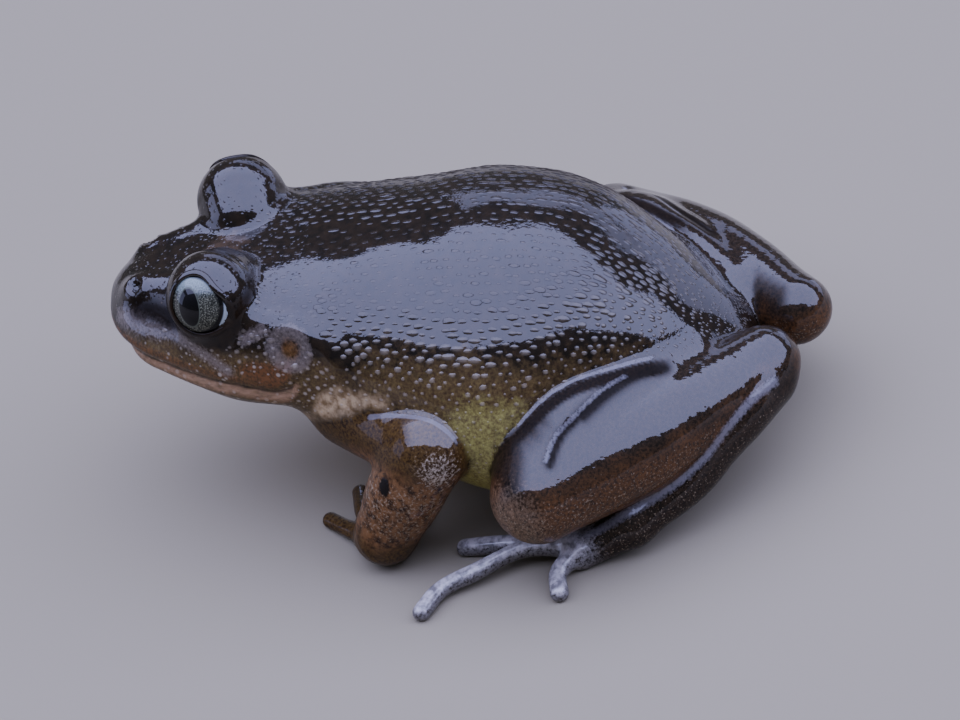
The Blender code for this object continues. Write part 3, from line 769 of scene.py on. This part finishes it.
# Layers of colour, from the deepest up. Each row: an attribute of the mesh, the pattern that breaks up its
# edge and how strongly, the values at which the layer begins and is full, how much it covers and its colours:
# one, or a dark one, a light one, and the pattern that mixes them with its lowest and highest value.
SKIN_LAYERS = (
    ("leg", ("slow", 1.1), (0.34, 0.7), 1.0, ("back", "leg", "fine", 0.35, 0.65)),
    ("shank_side", ("slow", 1.1), (0.34, 1.0), 1.0, ("leg", "leg_side", "fine", 0.35, 0.6)),
    ("shank_side", ("tiny", 3.0), (1.2, 1.55), 0.6, ("leg_speck",)),
    ("knee", ("fine", 1.6), (0.5, 1.5), 0.5, ("leg_speck",)),
    ("tarsus", ("tiny", 3.0), (1.25, 1.55), 0.5, ("leg_speck",)),
    ("flank", ("middling", 1.1), (0.3, 0.9), 1.0, ("flank", "flank_light", "fine", 0.35, 0.7)),
    ("low_flank", ("middling", 1.1), (0.3, 0.9), 1.0, ("flank_light", "olive", "fine", 0.3, 0.7)),
    ("cheek", ("slow", 1.1), (0.34, 0.95), 1.0, ("cheek_dark", "flank_light", "fine", 0.35, 0.7)),
    ("orange", ("fine", 1.5), (0.4, 1.1), 0.9, ("cheek_dark", "cheek", "fine", 0.32, 0.58)),
    ("cheek", ("dots", -2.5), (1.5, 1.875), 0.8, ("pale",)),
    # Painted sheen: the eardrum ring's lavender grey laid along the snout's side and upper lip, and on the
    # pale granular patch.
    ("painted_sheen_and_pale_patch", ("fine", 1.5), (0.4, 1.1), 0.75, ("ring",)),
    ("throat", ("slow", 1.1), (0.34, 0.9), 1.0, ("throat_dark", "throat", "middling", 0.35, 0.6)),
    # Belly tone, partly its own colour and partly painted shade under the body.
    ("belly", ("slow", 1.1), (0.34, 0.9), 1.0, ("belly",)),
    ("arm", ("fine", 1.1), (0.34, 0.7), 1.0, ("arm_dark", "upper_arm", "fine", 0.35, 0.65)),
    ("forearm", ("slow", 1.1), (0.34, 0.9), 1.0, ("arm_dark", "arm", "blotch", 0.36, 0.6)),
    ("forearm", ("fine", 2.5), (1.05, 1.4), 0.8, ("leg_speck",)),
    ("elbow", ("fine", 2.5), (0.85, 1.3), 0.85, ("pale",)),
    ("toe", ("fine", 1.1), (0.34, 0.9), 1.0, ("back_light", "toe_dark", "fine", 0.3, 0.55)),
    # Painted light on the toes' tops: pale where the skin faces up.
    ("toe_lit_top", ("fine", 1.1), (0.3, 0.8), 1.0, ("toe_dark", "toe", "middling", 0.35, 0.6)),
    # Painted shade: grooves and the wedge under the knee's arc darkened to the back's colour.
    ("groove", ("fine", 0.0), (0.0, 1.0), 0.8, ("back",)),
    ("spot", ("fine", 0.8), (1.15, 0.85), 1.0, ("back",)),
    ("brow", ("middling", 1.4), (0.5, 1.1), 0.9, ("brow",)),
    ("ring", ("fine", 1.6), (0.4, 1.3), 0.75, ("ring",)),
    ("eardrum", ("fine", -2.4), (1.2, -0.7), 1.0, ("eardrum",)),
    ("nostril", ("fine", 0.0), (0.6, 0.35), 1.0, ("back",)),
    # Painted highlight along the crease and the tarsus's ridge.
    ("edge", ("fine", -1.6), (1.1, 0.4), 0.65, ("edge",)),
    # Painted highlight along the arcs of knee and elbow.
    ("highlight_arc", ("middling", -0.8), (1.2, 0.7), 0.6, ("edge",)),
    ("lip", ("streak", 1.6), (0.4, 1.2), 0.85, ("lip",)),
    ("mouth", ("fine", 0.0), (0.22, 0.05), 0.6, ("back",)),
    # Pale wart tips: partly pigment, partly a painted glint.
    ("wart", ("fine", 0.0), (0.0, 1.0), 1.0, ("pale",)),
)

EYE_LAYERS = (
    ("iris", ("net", -2.5), (1.75, 2.1), 0.85, ("iris_net",)),
    ("iris_top", ("flecks", 1.2), (0.3, 1.1), 1.0, ("iris_bright",)),
    ("pupil", ("flecks", 0.0), (1.13, 1.07), 1.0, ("iris_ring",)),
    ("pupil", ("flecks", 0.0), (1.05, 0.99), 1.0, ("pupil",)),
    ("iris_out", ("flecks", 0.0), (2.45, 2.6), 1.0, ("pupil",)),
    ("corner", ("flecks", 0.0), (2.85, 2.95), 1.0, ("white",)),
)


def tones_of(group):
    """The colours of a group of settings, with the alpha that a node's socket wants."""
    return {name: (*getattr(group, name), 1.0) for name in type(group).__annotations__}


def mixed(tree, tones, patterns, dark, light, name, low, high):
    """Two colours mixed by a pattern."""
    share = add(tree, "MapRange", {"Value": patterns[name], "From Min": low, "From Max": high}, clamp=True)
    return add(tree, "Mix", {0: share, 6: tones[dark], 7: tones[light]}, output=2, data_type="RGBA")


def painted(tree, tones, patterns, ground, layers):
    """Lays the layers over the ground, each where |attribute| + strength (pattern - 0.5) is in range."""
    for where, (name, strength), (start, end), most, colours in layers:
        value = add(tree, "Attribute", output="Fac", attribute_name=where)
        value = add(tree, "Math", {0: value}, operation="ABSOLUTE")
        value = add(tree, "Math", {0: patterns[name], 1: strength, 2: value}, operation="MULTIPLY_ADD")
        limits = {"From Min": start + strength / 2, "From Max": end + strength / 2}
        share = add(tree, "MapRange", {"Value": value, "To Max": most, **limits}, clamp=True)
        above = tones[colours[0]] if len(colours) == 1 else mixed(tree, tones, patterns, *colours)
        ground = add(tree, "Mix", {0: share, 6: ground, 7: above}, output=2, data_type="RGBA")
    return ground


def wet_skin(colours):
    """Living frog skin under a film of water.

    The pigment lies deep and is mottled, and the skin itself is nearly matt. Over it lie painted highlights
    on ridges, arcs and the toes' tops, painted glints on wart tips, a painted sheen on snout and lip, and
    painted shade in grooves, under the body and at the forearm's lower end. The film of water gives the eye a
    hard, clear gloss with crisp edges, which only the warts and the granules of head and limbs break up.
    """
    material, tree = new_material("wet_frog_skin")
    place = add(tree, "TexCoord", output="Object")
    patterns = {}
    for name, (size, along, detail, rough) in SKIN_NOISES.items():
        per_metre = 1 / (size * MM)
        scaled = (per_metre, per_metre * along, per_metre)
        at = add(tree, "VectorMath", {0: place, 1: scaled}, operation="MULTIPLY")
        inputs = {"Vector": at, "Scale": 1.0, "Detail": detail, "Roughness": rough}
        patterns[name] = add(tree, "TexNoise", inputs)
    for name, size in (("dots", 0.9), ("granules", 0.5)):
        inputs = {"Vector": place, "Scale": 1 / (size * MM)}
        patterns[name] = add(tree, "TexVoronoi", inputs, output="Distance")
    tones = tones_of(colours)
    ground = mixed(tree, tones, patterns, "back", "back_light", "middling", 0.35, 0.75)
    skin = painted(tree, tones, patterns, ground, SKIN_LAYERS)
    grain = add(tree, "Bump", {"Height": patterns["fine"], "Strength": 0.3, "Distance": 0.00006})
    height = add(tree, "Math", {0: patterns["middling"], 1: 0.7}, operation="MULTIPLY")
    for where, name, most in (("leg", "dots", 0.6), ("arm", "dots", 0.6), ("head", "granules", 1.3)):
        inputs = {"Value": patterns[name], "From Min": 0.3, "From Max": 0.05, "To Max": most}
        dome = add(tree, "MapRange", inputs, clamp=True)
        share = add(tree, "Attribute", output="Fac", attribute_name=where)
        height = add(tree, "Math", {0: dome, 1: share, 2: height}, operation="MULTIPLY_ADD")
    film = add(tree, "Bump", {"Height": height, "Strength": 1.0, "Distance": 0.000028})
    inputs = {
        "Base Color": skin,
        "Roughness": 0.3,
        "IOR": 1.45,
        "Specular IOR Level": 0.06,
        "Coat Weight": add(tree, "Attribute", output="Fac", attribute_name="wet"),
        "Coat Roughness": 0.03,
        "Coat IOR": 1.65,
        "Normal": grain,
        "Coat Normal": film,
    }
    add(tree, "OutputMaterial", {"Surface": add(tree, "BsdfPrincipled", inputs)})
    return material


def frog_eye(colours):
    """An eyeball: a clear wet cornea over an iris of silvery flecks in a dark net, with an upright pupil."""
    material, tree = new_material("wet_cornea_and_iris")
    tones = tones_of(colours)
    place = add(tree, "TexCoord", output="Object")
    bend = add(tree, "TexNoise", {"Vector": place, "Scale": 2500.0, "Detail": 2.0}, output="Color")
    bent = add(tree, "VectorMath", {0: bend, 1: (0.0003,) * 3, 2: place}, operation="MULTIPLY_ADD")
    net = {"Vector": bent, "Scale": 4500.0}
    patterns = {
        "flecks": add(tree, "TexNoise", {"Vector": place, "Scale": 9000.0, "Detail": 3.0, "Roughness": 0.7}),
        "net": add(tree, "TexVoronoi", net, output="Distance", feature="DISTANCE_TO_EDGE"),
    }
    ground = mixed(tree, tones, patterns, "iris", "iris_fleck", "flecks", 0.42, 0.6)
    inputs = {
        "Base Color": painted(tree, tones, patterns, ground, EYE_LAYERS),
        "Roughness": 0.5,
        "IOR": 1.376,
        "Specular IOR Level": 0.15,
        "Coat Weight": add(tree, "Attribute", output="Fac", attribute_name="wet"),
        "Coat Roughness": 0.01,
        "Coat IOR": 1.42,
    }
    add(tree, "OutputMaterial", {"Surface": add(tree, "BsdfPrincipled", inputs)})
    return material


def matt_floor():
    """Matt paper: an even pale ground with no gloss."""
    material, tree = new_material("matt_paper")
    inputs = {"Base Color": (*linear(FLOOR_COLOUR), 1.0), "Roughness": 0.9}
    add(tree, "OutputMaterial", {"Surface": add(tree, "BsdfPrincipled", inputs)})
    return material


def hex_setting(name, description, code):
    """A colour, given as an sRGB hex colour."""
    look = {"subtype": "COLOR", "size": 3, "min": 0, "max": 1, "default": linear(code)}
    return bpy.props.FloatVectorProperty(name=name, description=description, **look)


def length_setting(name, description, size):
    """A length, given in mm."""
    return bpy.props.FloatProperty(name=name, description=description, default=size * MM, unit="LENGTH")


class FrogSkinColours(bpy.types.PropertyGroup):
    back: hex_setting("Back", "Dark skin of the back", "#120D09")
    back_light: hex_setting("Back, light", "Light mottling of the back", "#2A1F14")
    flank: hex_setting("Flank", "Brown skin of the side", "#443220")
    flank_light: hex_setting("Flank, light", "Light mottling of the side", "#6C5A34")
    olive: hex_setting("Olive", "Olive specks before the thigh", "#AEA95C")
    throat_dark: hex_setting("Throat, dark", "Dark mottling of the throat", "#7A6240")
    throat: hex_setting("Throat", "Beige skin of the throat", "#C6AC84")
    # Darkened: partly the belly's own colour, partly painted shade under the body.
    belly: hex_setting("Belly", "Skin of the belly", "#8A7D62")
    cheek_dark: hex_setting("Cheek, dark", "Dark skin of the cheek", "#46321E")
    cheek: hex_setting("Cheek", "Rusty patch of the cheek", "#764A28")
    # Also the pale of the warts' tips, partly pigment and partly a painted glint.
    pale: hex_setting("Warts", "Pale tips of the warts and granules", "#B5A896")
    upper_arm: hex_setting("Upper arm", "Skin of the upper arm", "#5C4522")
    arm: hex_setting("Forearm", "Rusty skin of the forearm", "#7C5734")
    arm_dark: hex_setting("Forearm, dark", "Dark mottling of the forearm", "#2C1C10")
    leg: hex_setting("Leg", "Light mottling of the leg", "#33261A")
    leg_side: hex_setting("Shank", "Brown side of the shank", "#5E3E22")
    leg_speck: hex_setting("Specks", "Pale specks of the limbs", "#A08E74")
    # The pale toe tone is painted on the toes' upward faces as a highlight; the dark one is left on their
    # sides as painted shade.
    toe: hex_setting("Toes", "Pale ridges of the toes", "#C8C2C0")
    toe_dark: hex_setting("Toes, dark", "Grey skin between the ridges", "#7A7674")
    eardrum: hex_setting("Eardrum", "Core of the eardrum", "#80582E")
    # This tone is also the painted sheen on the snout's side and upper lip.
    ring: hex_setting("Ring", "Granular ring of the eardrum", "#82766E")
    # Painted highlight, a pale lavender grey, along crease, tarsus ridge and the arcs of knee and elbow.
    edge: hex_setting("Edges", "Pale edges of knee and elbow", "#86848A")
    lip: hex_setting("Lip", "Pinkish skin of the lower jaw", "#A88464")
    brow: hex_setting("Brow", "Tan patch between the eyes", "#4A3A2C")


class FrogEyeColours(bpy.types.PropertyGroup):
    iris: hex_setting("Iris", "Ground of the iris", "#2A2C22")
    iris_fleck: hex_setting("Flecks", "Grey-green flecks of the iris", "#8C8D78")
    iris_net: hex_setting("Net", "Dark net over the iris", "#080A08")
    iris_bright: hex_setting("Iris, top", "Silvery upper half of the iris", "#8F9E9A")
    iris_ring: hex_setting("Ring", "Silver ring about the pupil", "#565C4E")
    pupil: hex_setting("Pupil", "Pupil and rim of the iris", "#020203")
    white: hex_setting("White", "Corner of the eye", "#A9B4B4")


class FrogSizes(bpy.types.PropertyGroup):
    grid: length_setting("Skin grid", "Side of the skin's faces", 0.32)
    lid: length_setting("Eyelid rim", "Radius of the eyelid's rim", 0.18)
    wart: length_setting("Wart", "Radius of a middling wart", 0.2)
    wart_gap: length_setting("Wart spacing", "Distance from wart to wart", 0.82)
    pupil_wide: length_setting("Pupil width", "Half width of the pupil", 1.0)
    pupil_tall: length_setting("Pupil height", "Half height of the pupil", 1.75)


class FrogStage(bpy.types.PropertyGroup):
    key: bpy.props.FloatProperty(
        name="Brightness", description="Brightness of the soft lights", default=4.3, min=0
    )


def finish_piece(obj, material, slot, *nodes):
    """Gives a piece its material, lets it ride on the frog and hides the solids that it stands for."""
    obj.data.materials.clear()
    obj.data.materials.append(material)
    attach(obj, "root")
    if nodes:
        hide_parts(*nodes)


def skin_material(context):
    """The skin's material, made once for all the pieces that wear it."""
    return bpy.data.materials.get("wet_frog_skin") or wet_skin(context.scene.frog_skin_colours)


class FROG_OT_skin(bpy.types.Operator):
    """Makes the frog's skin, one closed surface from snout to toes"""

    bl_idname = "frog.skin"
    bl_label = "Skin"

    def execute(self, context):
        lids = [tube for tube in HEAD_TUBES if tube["kind"] == "lid"]
        lofts = [trunk_loft(), *map(tube_loft, LIMB_TUBES), *(tube_loft(tube, 36, 10) for tube in lids)]
        skin = add_mesh("skin", *joined(lofts))
        weld(skin, context.scene.frog_sizes.grid)
        mesh = skin.data
        edges = read(mesh.edges, "vertices", 2, np.int32)
        points = mesh_points(mesh)
        for _ in range(5):
            points = projected(relaxed(points, edges, 0.5), 1)
        points = projected(points, 2)
        points[:, 2] = np.maximum(points[:, 2], 0)
        set_points(mesh, points)
        set_attributes(mesh, paint_regions(points, read(mesh.vertex_normals, "vector", 3)))
        flesh = [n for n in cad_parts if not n.endswith("_eye")]
        finish_piece(skin, skin_material(context), "back_skin", *flesh)
        return {"FINISHED"}


class FROG_OT_eyes(bpy.types.Operator):
    """Makes the two eyeballs"""

    bl_idname = "frog.eyes"
    bl_label = "Eyes"

    def execute(self, context):
        sizes = context.scene.frog_sizes
        material = frog_eye(context.scene.frog_eye_colours)
        for word, side in SIDES:
            centre, look, back, up = eye_frame(side, OPENING_LOOKS)
            points, quads, triangles = ball_loft(centre, EYE_RADIUS, 48, 64, axis=look)
            eye = add_mesh(word + "_eyeball", points, quads, triangles)
            offset = points - centre
            in_front, across, over = offset @ look > 0, offset @ back, offset @ up
            wide = (across - PUPIL_OFFSET[0]) / (sizes.pupil_wide / MM)
            tall = (over - PUPIL_OFFSET[1]) / (sizes.pupil_tall / MM)
            from_iris = np.hypot(across - IRIS_OFFSET, over)
            # The white corner shows only behind the iris, past 1 mm from the eye's middle.
            corner = np.maximum(from_iris - 9 * step_down(across, 1.0, 1.7), 0)
            values = {
                "iris": np.ones(len(points)),
                "iris_top": step_up(over, 0.2, 2.4),
                "pupil": np.hypot(wide, tall),
                "iris_out": np.where(in_front, from_iris, FAR_OFF),
                "corner": np.where(in_front, corner, 0.0),
                "wet": 0.3 + 0.7 * step_up(offset[:, 2] / EYE_RADIUS, -0.1, 0.4),
            }
            set_attributes(eye.data, values)
            finish_piece(eye, material, "eye", word + "_eye")
        return {"FINISHED"}


class FROG_OT_eyelids(bpy.types.Operator):
    """Makes the rims of the eyelids: an oval profile carried round the edge of each eye's opening"""

    bl_idname = "frog.eyelids"
    bl_label = "Eyelids"

    def execute(self, context):
        thick = context.scene.frog_sizes.lid / MM
        for word, side in SIDES:
            centre, look, back, up = eye_frame(side, OPENING_LOOKS)
            turn = np.linspace(-math.pi, math.pi, 120, endpoint=False)
            half = lid_opening(turn)[:, None]
            beside = half * (np.cos(turn)[:, None] * back + np.sin(turn)[:, None] * up)
            ahead = np.sqrt(np.maximum((EYE_RADIUS + 0.05) ** 2 - half**2, 0.5)) * look
            outward = unit(beside)
            around = turns(12)[None, :, None]
            wide, tall = outward[:, None] - 0.7 * look, look + 0.4 * outward[:, None]
            shape = 1.5 * np.cos(around) * wide + np.sin(around) * tall
            rings = (centre + beside + ahead + outward * thick * 0.8)[:, None] + thick * shape
            rows, columns = rings.shape[:2]
            index = np.arange(rows * columns).reshape(rows, columns)
            turned = np.roll(index, -1, axis=0)
            quads = [index, turned, np.roll(turned, -1, axis=1), np.roll(index, -1, axis=1)]
            quads = np.stack(quads, axis=-1).reshape(-1, 4)[:, ::-side]
            points = rings.reshape(-1, 3)
            lid = add_mesh(word + "_eyelid", points, quads)
            set_attributes(lid.data, paint_regions(points, np.repeat(unit(look + outward), columns, axis=0)))
            finish_piece(lid, skin_material(context), "back_skin")
        return {"FINISHED"}


def wart_places(gap):
    """Rows of places that run from snout to vent, jittered, with the skin's way outwards at each.

    A place is a point of the trunk's section at (place along Y, turn about its middle), moved onto the skin.
    Places lie closer together towards the vent.
    """
    rng = np.random.default_rng(SEED)
    share = np.linspace(0, 1, int(54 / (gap * 1.25)))
    down_back = -26 + 52 * (1 - (1 - share) ** 1.35)
    rows, along = np.meshgrid(np.arange(-34, 35), down_back, indexing="ij")
    along = along + (rows % 2) * gap * 0.65 + rng.normal(0, 0.16 * gap, along.shape)
    turn = math.pi / 2 + (rows + rng.normal(0, 0.13, rows.shape)) * gap * 0.068
    y, turn = along.ravel(), turn.ravel()
    points = projected(on_section(y, turn), 4)
    outward = unit(slope(skin_distance, points, 0.15))
    # On the trunk alone, clear of lids, nostrils and eardrums, few on the snout, none on the lower face.
    kept = np.abs(trunk_distance(points)) < 0.35
    for _, side in SIDES:
        centre, look, _, _ = eye_frame(side, OPENING_LOOKS)
        offset = points - centre
        kept &= (offset @ look <= 0) | (np.linalg.norm(offset, axis=1) >= 4.6)
    kept &= (nearest_of(points, NOSTRILS) > 1.6) & (nearest_of(points, EARDRUMS) > 1.3)
    kept &= (y > -24) | (rng.random(len(y)) < 0.3)
    kept &= (points[:, 2] > 18.5) | (y > -14)
    return points[kept], outward[kept], rng


class FROG_OT_warts(bpy.types.Operator):
    """Makes the warts: low domes in rows from head to rump, smaller on the head and towards the belly"""

    bl_idname = "frog.warts"
    bl_label = "Warts"

    def execute(self, context):
        sizes = context.scene.frog_sizes
        places, outward, rng = wart_places(sizes.wart_gap / MM)
        x, y, z = places.T
        up = outward[:, 2]
        level = step_up(up, 0.82, 0.95) * step_up(x, -1.5, 1.5)  # on the left half of the level back
        grown = (0.6 + 0.4 * step_up(y, -26, -8)) * (0.35 + 0.65 * step_up(z, 13.5, 22))
        grown *= 1.0 - 0.35 * level
        radius = sizes.wart / MM * grown * np.minimum(np.exp(rng.normal(0, 0.28, len(places))), 1.5)
        across = unit(np.cross(outward, (0.1, 1.0, 0.05)))
        over = np.cross(outward, across)
        around = turns(WART_SIDES)[None, :, None]
        stretch = rng.uniform(1.0, 1.5, (len(places), 1, 1)) + 0.7 * step_up(up, 0.5, 0.7)[:, None, None]
        wobble = rng.uniform(0.85, 1.15, (len(places), WART_SIDES, 1))
        circle = np.cos(around) * across[:, None] + np.sin(around) * over[:, None] * stretch
        circle = circle * radius[:, None, None] * wobble
        out = (radius * (0.12 + 0.4 * (1 - level)))[:, None, None] * outward[:, None]
        rings = [places[:, None] + wide * circle + tall * out for wide, tall, _ in WART_PROFILE]
        ends = [places[:, None] + 0.5 * out, places[:, None] - 0.6 * out]
        points = np.concatenate(rings + ends, axis=1)
        each = points.shape[1]
        first = np.arange(len(places))[:, None, None] * each
        low, top = np.arange(WART_SIDES), each - len(ends)
        caps = [fan_faces(low + top - WART_SIDES, top), fan_faces(low, top + 1)[:, ::-1]]
        quads = (grid_faces(len(WART_PROFILE), WART_SIDES) + first).reshape(-1, 4)
        triangles = (np.concatenate(caps) + first).reshape(-1, 3)
        warts = add_mesh("warts", points.reshape(-1, 3), quads, triangles)
        regions = paint_regions(places, outward)
        tip = np.concatenate([np.repeat([row[2] for row in WART_PROFILE], WART_SIDES), [1, 0]])
        # The tips are painted pale, most on flank and cheek and where the skin faces sideways: partly pale
        # pigment, partly a painted glint.
        pale = 0.04 + 0.14 * step_down(up, 0.6, 0.85) + 0.22 * regions["flank"] + 0.4 * regions["cheek"]
        values = {name: np.repeat(value, each) for name, value in regions.items()}
        set_attributes(warts.data, {**values, "wart": (pale[:, None] * tip).ravel()})
        map_warts(warts.data, places)
        finish_piece(warts, skin_material(context), "back_skin")
        return {"FINISHED"}


def map_warts(mesh, places):
    """Gives each wart its own small patch of the texture, at its root's place on the unrolled trunk.

    Across is the turn about the trunk's middle, up is the place along Y, and a patch is 0.003 wide.
    """
    _, middle, *_ = section(places[:, 1])
    turn = np.arctan2(places[:, 2] - middle, places[:, 0]) / (2 * math.pi) + 0.5
    root = np.stack([0.02 + 0.96 * turn, 0.02 + 0.96 * (places[:, 1] + 34) / 64], axis=1)
    ring = np.stack([np.cos(turns(WART_SIDES)), np.sin(turns(WART_SIDES))], axis=1)
    patch = np.concatenate([ring * size for size in (0.0015, 0.001, 0.0005)] + [np.zeros((2, 2))])
    uv = (root[:, None] + patch).reshape(-1, 2)
    corners = read(mesh.loops, "vertex_index", 1, np.int32)[:, 0]
    layer = mesh.uv_layers.new(name="OFBake")
    layer.data.foreach_set("uv", uv[corners].astype(np.float32).ravel())


class FROG_OT_stage(bpy.types.Operator):
    """Makes the pale floor, the soft studio light and the camera"""

    bl_idname = "frog.stage"
    bl_label = "Stage"

    def execute(self, context):
        stage = context.scene.frog_stage
        corners = FLOOR_REACH * np.array([(-1, -1, 0), (1, -1, 0), (1, 1, 0), (-1, 1, 0)], float)
        floor = add_mesh("floor", corners, np.array([[0, 1, 2, 3]]))
        floor.data.materials.append(matt_floor())
        for name, place, size, turned, share in LIGHTS:
            add_light(name, place, size, turned, stage.key * share)
        world = bpy.data.worlds.new("studio")
        context.scene.world = world
        world.use_nodes = True
        world.node_tree.nodes["Background"].inputs["Color"].default_value = WORLD_COLOUR
        add_camera()
        return {"FINISHED"}


def add_light(name, place, size, turned, brightness):
    """A large flat light. Its power is brightness x pi x its area."""
    data = bpy.data.lights.new(name, "AREA")
    data.shape = "RECTANGLE"
    data.size, data.size_y = size
    data.energy = brightness * math.pi * size[0] * size[1]
    data.color = linear(LIGHT_COLOUR)
    light = bpy.data.objects.new(name, data)
    bpy.context.scene.collection.objects.link(light)
    light.location = place
    light.rotation_euler = [math.radians(angle) for angle in turned]


def add_camera():
    """The camera at the photograph's bearing, height, tilt and scale."""
    level = math.cos(CAMERA_HEIGHT)
    back = (math.sin(CAMERA_BEARING) * level, -math.cos(CAMERA_BEARING) * level, math.sin(CAMERA_HEIGHT))
    back = Vector(back)
    right = Vector((math.cos(CAMERA_BEARING), math.sin(CAMERA_BEARING), 0))
    up = back.cross(right)
    turned_right = right * math.cos(CAMERA_TILT) - up * math.sin(CAMERA_TILT)
    turned_up = right * math.sin(CAMERA_TILT) + up * math.cos(CAMERA_TILT)
    matrix = Matrix((turned_right, turned_up, back)).transposed().to_4x4()
    matrix.translation = Vector(CAMERA_TARGET) + back * CAMERA_AWAY
    data = bpy.data.cameras.new("camera")
    data.sensor_width = 36
    data.lens = data.sensor_width * CAMERA_AWAY / CAMERA_FRAMES
    data.clip_start, data.clip_end = 0.01, 10
    camera = bpy.data.objects.new("camera", data)
    bpy.context.scene.collection.objects.link(camera)
    camera.matrix_world = matrix
    bpy.context.scene.camera = camera


class FROG_PT_panel(bpy.types.Panel):
    """Lists the frog's pieces and settings"""

    bl_label = "Frog"
    bl_idname = "FROG_PT_panel"
    bl_space_type = "VIEW_3D"
    bl_region_type = "UI"
    bl_category = "Frog"

    def draw(self, context):
        for group in GROUPS:
            for name in GROUPS[group].__annotations__:
                self.layout.prop(getattr(context.scene, group), name)
        for operator in OPERATORS:
            self.layout.operator(operator.bl_idname)


OPERATORS = (FROG_OT_skin, FROG_OT_warts, FROG_OT_eyes, FROG_OT_eyelids, FROG_OT_stage)
GROUPS = {
    "frog_sizes": FrogSizes,
    "frog_skin_colours": FrogSkinColours,
    "frog_eye_colours": FrogEyeColours,
    "frog_stage": FrogStage,
}
CLASSES = (*GROUPS.values(), *OPERATORS, FROG_PT_panel)


def register():
    for cls in CLASSES:
        bpy.utils.register_class(cls)
    for name, group in GROUPS.items():
        setattr(bpy.types.Scene, name, bpy.props.PointerProperty(type=group))


def unregister():
    for name in GROUPS:
        delattr(bpy.types.Scene, name)
    for cls in reversed(CLASSES):
        bpy.utils.unregister_class(cls)


def main():
    register()
    bpy.ops.frog.skin()
    bpy.ops.frog.warts()
    bpy.ops.frog.eyes()
    bpy.ops.frog.eyelids()
    bpy.ops.frog.stage()


if __name__ == "__main__":
    main()
